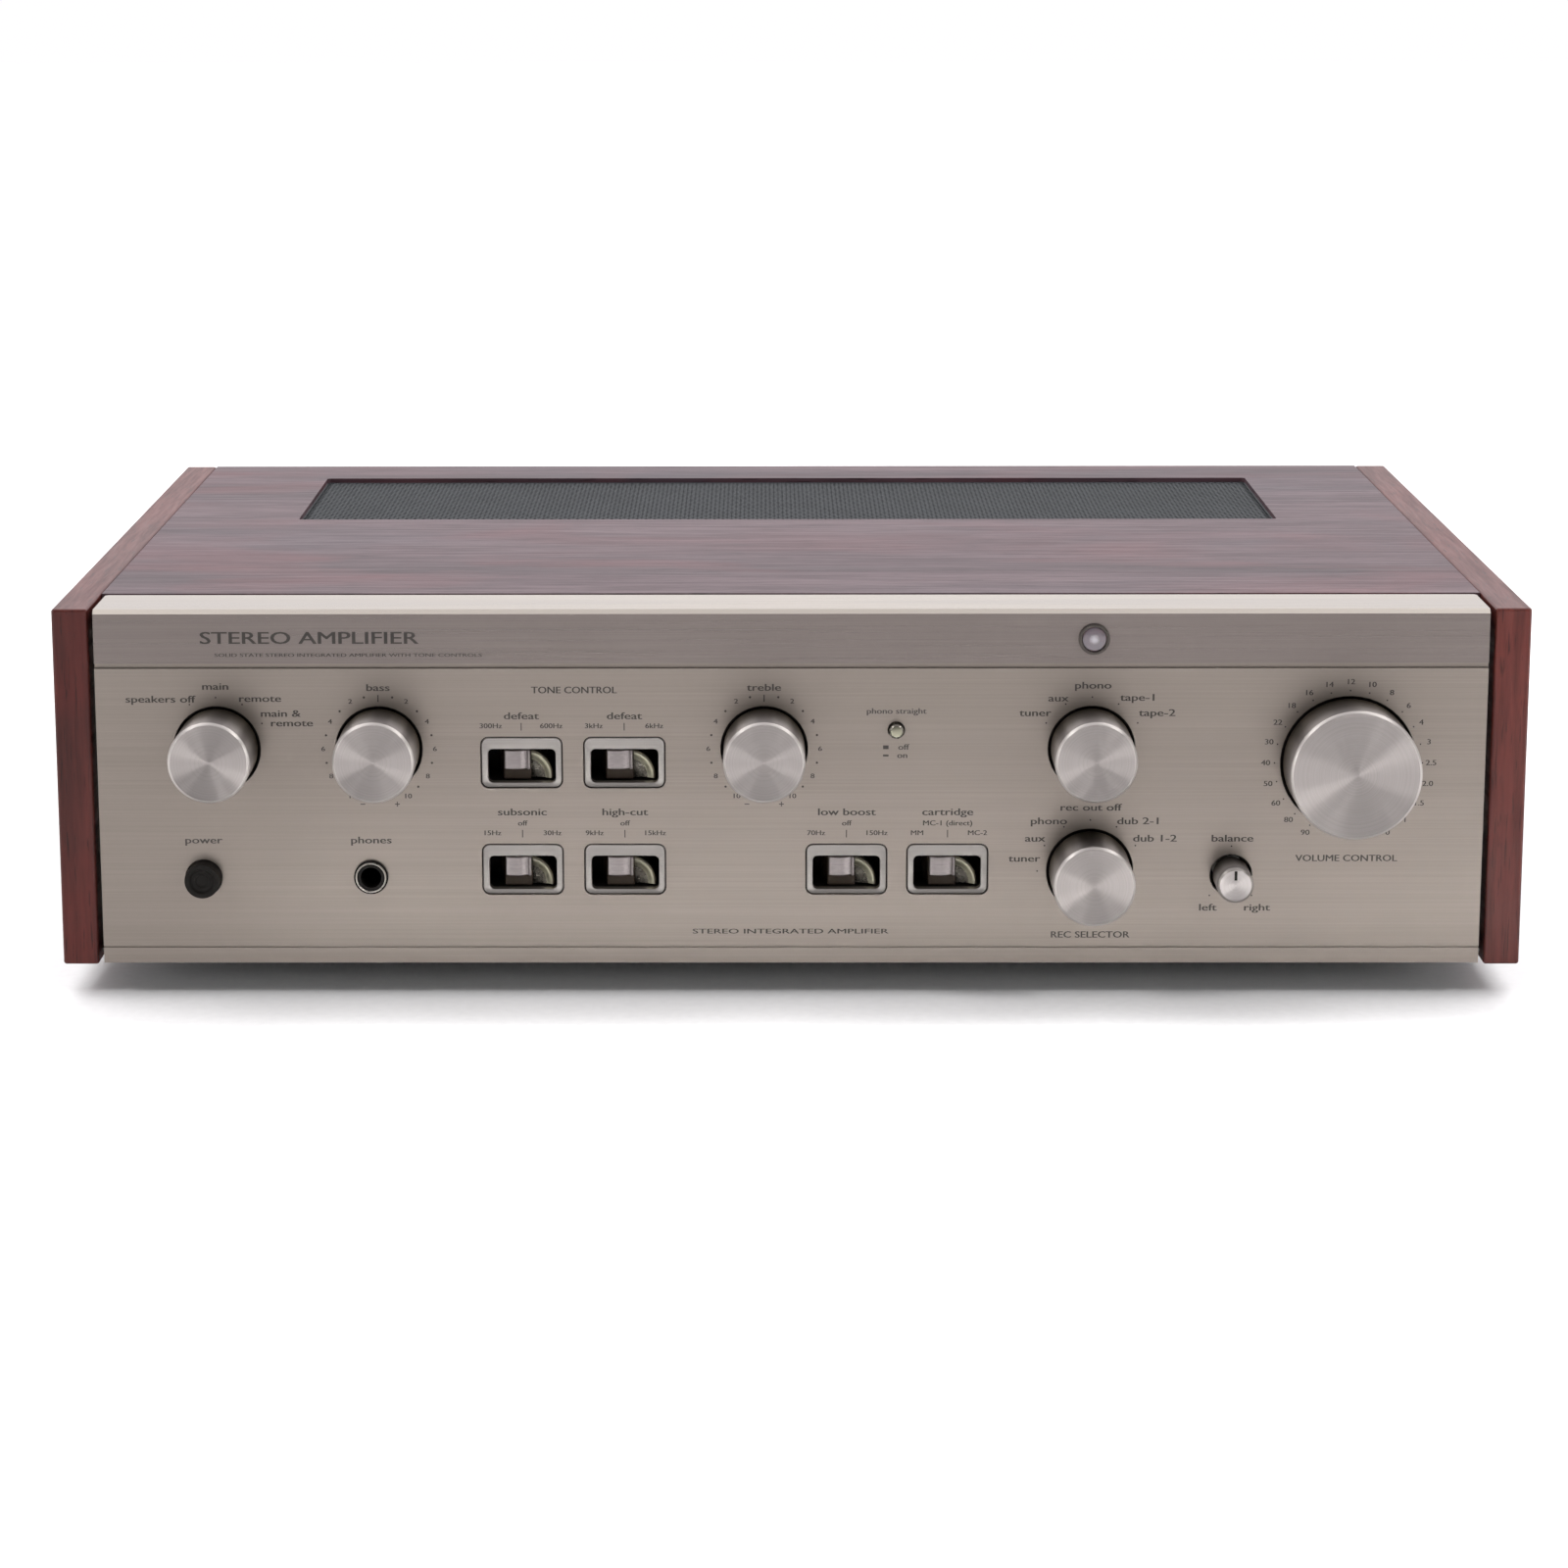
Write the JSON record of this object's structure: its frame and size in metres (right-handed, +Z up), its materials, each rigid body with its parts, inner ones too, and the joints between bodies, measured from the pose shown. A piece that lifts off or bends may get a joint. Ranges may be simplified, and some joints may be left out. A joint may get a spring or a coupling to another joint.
{
  "type": "integrated amplifier",
  "caption": "Integrated stereo amplifier with wooden case, aluminium front, turning knobs, lever switches, push buttons, headphone socket and rear connections.",
  "frame": {"origin": "on the surface it stands on, below the middle of the whole object", "axes": "+X to the right seen from the front, +Y from the front panel to the rear, +Z up"},
  "size_m": [0.453, 0.333, 0.1225],
  "materials": {
    "cabinet_wood": "satin rosewood",
    "brushed_aluminium": "fine horizontal brushing, champagne anodised",
    "knob_aluminium": "spun face, turned side",
    "lever_chrome": "satin chrome thumb pad on dark body",
    "chrome_trim": "satin",
    "lamp_lens": "pale translucent",
    "black_plastic": "moulded",
    "black_steel": "satin paint",
    "plated_steel": "zinc plated",
    "foot_rubber": "moulded",
    "gold_plate": "nickel over brass",
    "core_steel": "varnished laminations",
    "winding_tape": "tape",
    "capacitor_sleeve": "shrink sleeve",
    "black_aluminium": "black anodised",
    "board_laminate": "paper laminate"
  },
  "bodies": {
    "chassis": {"left_cheek": "cabinet_wood", "right_cheek": "cabinet_wood", "top_panel": "cabinet_wood", "vent_mesh": "black_steel", "mesh_screws": "plated_steel", "front_panel": "brushed_aluminium", "top_rail": "brushed_aluminium", "pilot_lamp_ring": "chrome_trim", "pilot_lamp_lens": "lamp_lens", "headphone_jack": "black_plastic", "headphone_nut": "chrome_trim", "rotary_switches": "plated_steel", "potentiometers": "plated_steel", "control_nuts": "plated_steel", "lever_housings": "black_plastic", "push_switches": "black_plastic", "control_carrier": "plated_steel", "spacer_posts": "plated_steel", "bottom_plate": "black_steel", "side_frames": "plated_steel", "cheek_screws": "plated_steel", "feet": "foot_rubber", "foot_screws": "plated_steel", "rear_panel": "black_steel", "rear_screws": "plated_steel", "jack_plates": "black_plastic", "jack_sleeves": "gold_plate", "terminal_strips": "black_plastic", "binding_posts": "gold_plate", "outlet_block": "black_plastic", "cord_bushing": "black_plastic", "transformer_core": "core_steel", "transformer_winding": "winding_tape", "filter_capacitors": "capacitor_sleeve", "heat_sinks": "black_aluminium", "output_transistors": "plated_steel", "circuit_boards": "board_laminate", "speaker_relay": "lamp_lens"},
    "speakers_control": {"speakers_knob": "knob_aluminium", "speakers_spindle": "plated_steel"},
    "bass_control": {"bass_knob": "knob_aluminium", "bass_spindle": "plated_steel"},
    "treble_control": {"treble_knob": "knob_aluminium", "treble_spindle": "plated_steel"},
    "input_control": {"input_knob": "knob_aluminium", "input_spindle": "plated_steel"},
    "rec_control": {"rec_knob": "knob_aluminium", "rec_spindle": "plated_steel"},
    "balance_control": {"balance_knob": "knob_aluminium", "balance_spindle": "plated_steel"},
    "volume_control": {"volume_knob": "knob_aluminium", "volume_spindle": "plated_steel"},
    "bass_turnover_switch": {"bass_turnover_lever": "lever_chrome"},
    "treble_turnover_switch": {"treble_turnover_lever": "lever_chrome"},
    "subsonic_switch": {"subsonic_lever": "lever_chrome"},
    "high_cut_switch": {"high_cut_lever": "lever_chrome"},
    "low_boost_switch": {"low_boost_lever": "lever_chrome"},
    "cartridge_switch": {"cartridge_lever": "lever_chrome"},
    "power_push": {"power_button": "black_plastic"},
    "phono_push": {"phono_button": "knob_aluminium"}
  },
  "joints": [
    {"name": "speakers_turn", "type": "hinge", "parent": "chassis", "child": "speakers_control", "pos_m": [-0.1765, -0.1445, 0.079], "axis": [0, 1, 0], "range_deg": [-30, 60]},
    {"name": "bass_turn", "type": "hinge", "parent": "chassis", "child": "bass_control", "pos_m": [-0.1266, -0.1445, 0.079], "axis": [0, 1, 0], "range_deg": [-150, 150]},
    {"name": "treble_turn", "type": "hinge", "parent": "chassis", "child": "treble_control", "pos_m": [-0.0081, -0.1445, 0.079], "axis": [0, 1, 0], "range_deg": [-150, 150]},
    {"name": "input_turn", "type": "hinge", "parent": "chassis", "child": "input_control", "pos_m": [0.0925, -0.1445, 0.079], "axis": [0, 1, 0], "range_deg": [-60, 60]},
    {"name": "rec_turn", "type": "hinge", "parent": "chassis", "child": "rec_control", "pos_m": [0.0925, -0.1445, 0.0403], "axis": [0, 1, 0], "range_deg": [-90, 60]},
    {"name": "balance_turn", "type": "hinge", "parent": "chassis", "child": "balance_control", "pos_m": [0.1362, -0.1445, 0.039], "axis": [0, 1, 0], "range_deg": [-135, 135]},
    {"name": "volume_turn", "type": "hinge", "parent": "chassis", "child": "volume_control", "pos_m": [0.1715, -0.1445, 0.0745], "axis": [0, 1, 0], "range_deg": [-150, 150]},
    {"name": "bass_turnover_swing", "type": "hinge", "parent": "chassis", "child": "bass_turnover_switch", "pos_m": [-0.08275, -0.1315, 0.07345], "axis": [0, 0, 1], "range_deg": [-12, 12]},
    {"name": "treble_turnover_swing", "type": "hinge", "parent": "chassis", "child": "treble_turnover_switch", "pos_m": [-0.0511, -0.1315, 0.07345], "axis": [0, 0, 1], "range_deg": [-12, 12]},
    {"name": "subsonic_swing", "type": "hinge", "parent": "chassis", "child": "subsonic_switch", "pos_m": [-0.08275, -0.1315, 0.03965], "axis": [0, 0, 1], "range_deg": [-12, 12]},
    {"name": "high_cut_swing", "type": "hinge", "parent": "chassis", "child": "high_cut_switch", "pos_m": [-0.0511, -0.1315, 0.03965], "axis": [0, 0, 1], "range_deg": [-12, 12]},
    {"name": "low_boost_swing", "type": "hinge", "parent": "chassis", "child": "low_boost_switch", "pos_m": [0.0173, -0.1315, 0.03965], "axis": [0, 0, 1], "range_deg": [-12, 12]},
    {"name": "cartridge_swing", "type": "hinge", "parent": "chassis", "child": "cartridge_switch", "pos_m": [0.0485, -0.1315, 0.03965], "axis": [0, 0, 1], "range_deg": [-12, 12]},
    {"name": "power_press", "type": "slide", "parent": "chassis", "child": "power_push", "axis": [0, 1, 0], "range_m": [0, 0.004], "stiffness_N_per_m": 150, "springref_m": -0.003},
    {"name": "phono_press", "type": "slide", "parent": "chassis", "child": "phono_push", "axis": [0, 1, 0], "range_m": [0, 0.003], "stiffness_N_per_m": 150, "springref_m": -0.003}
  ]
}
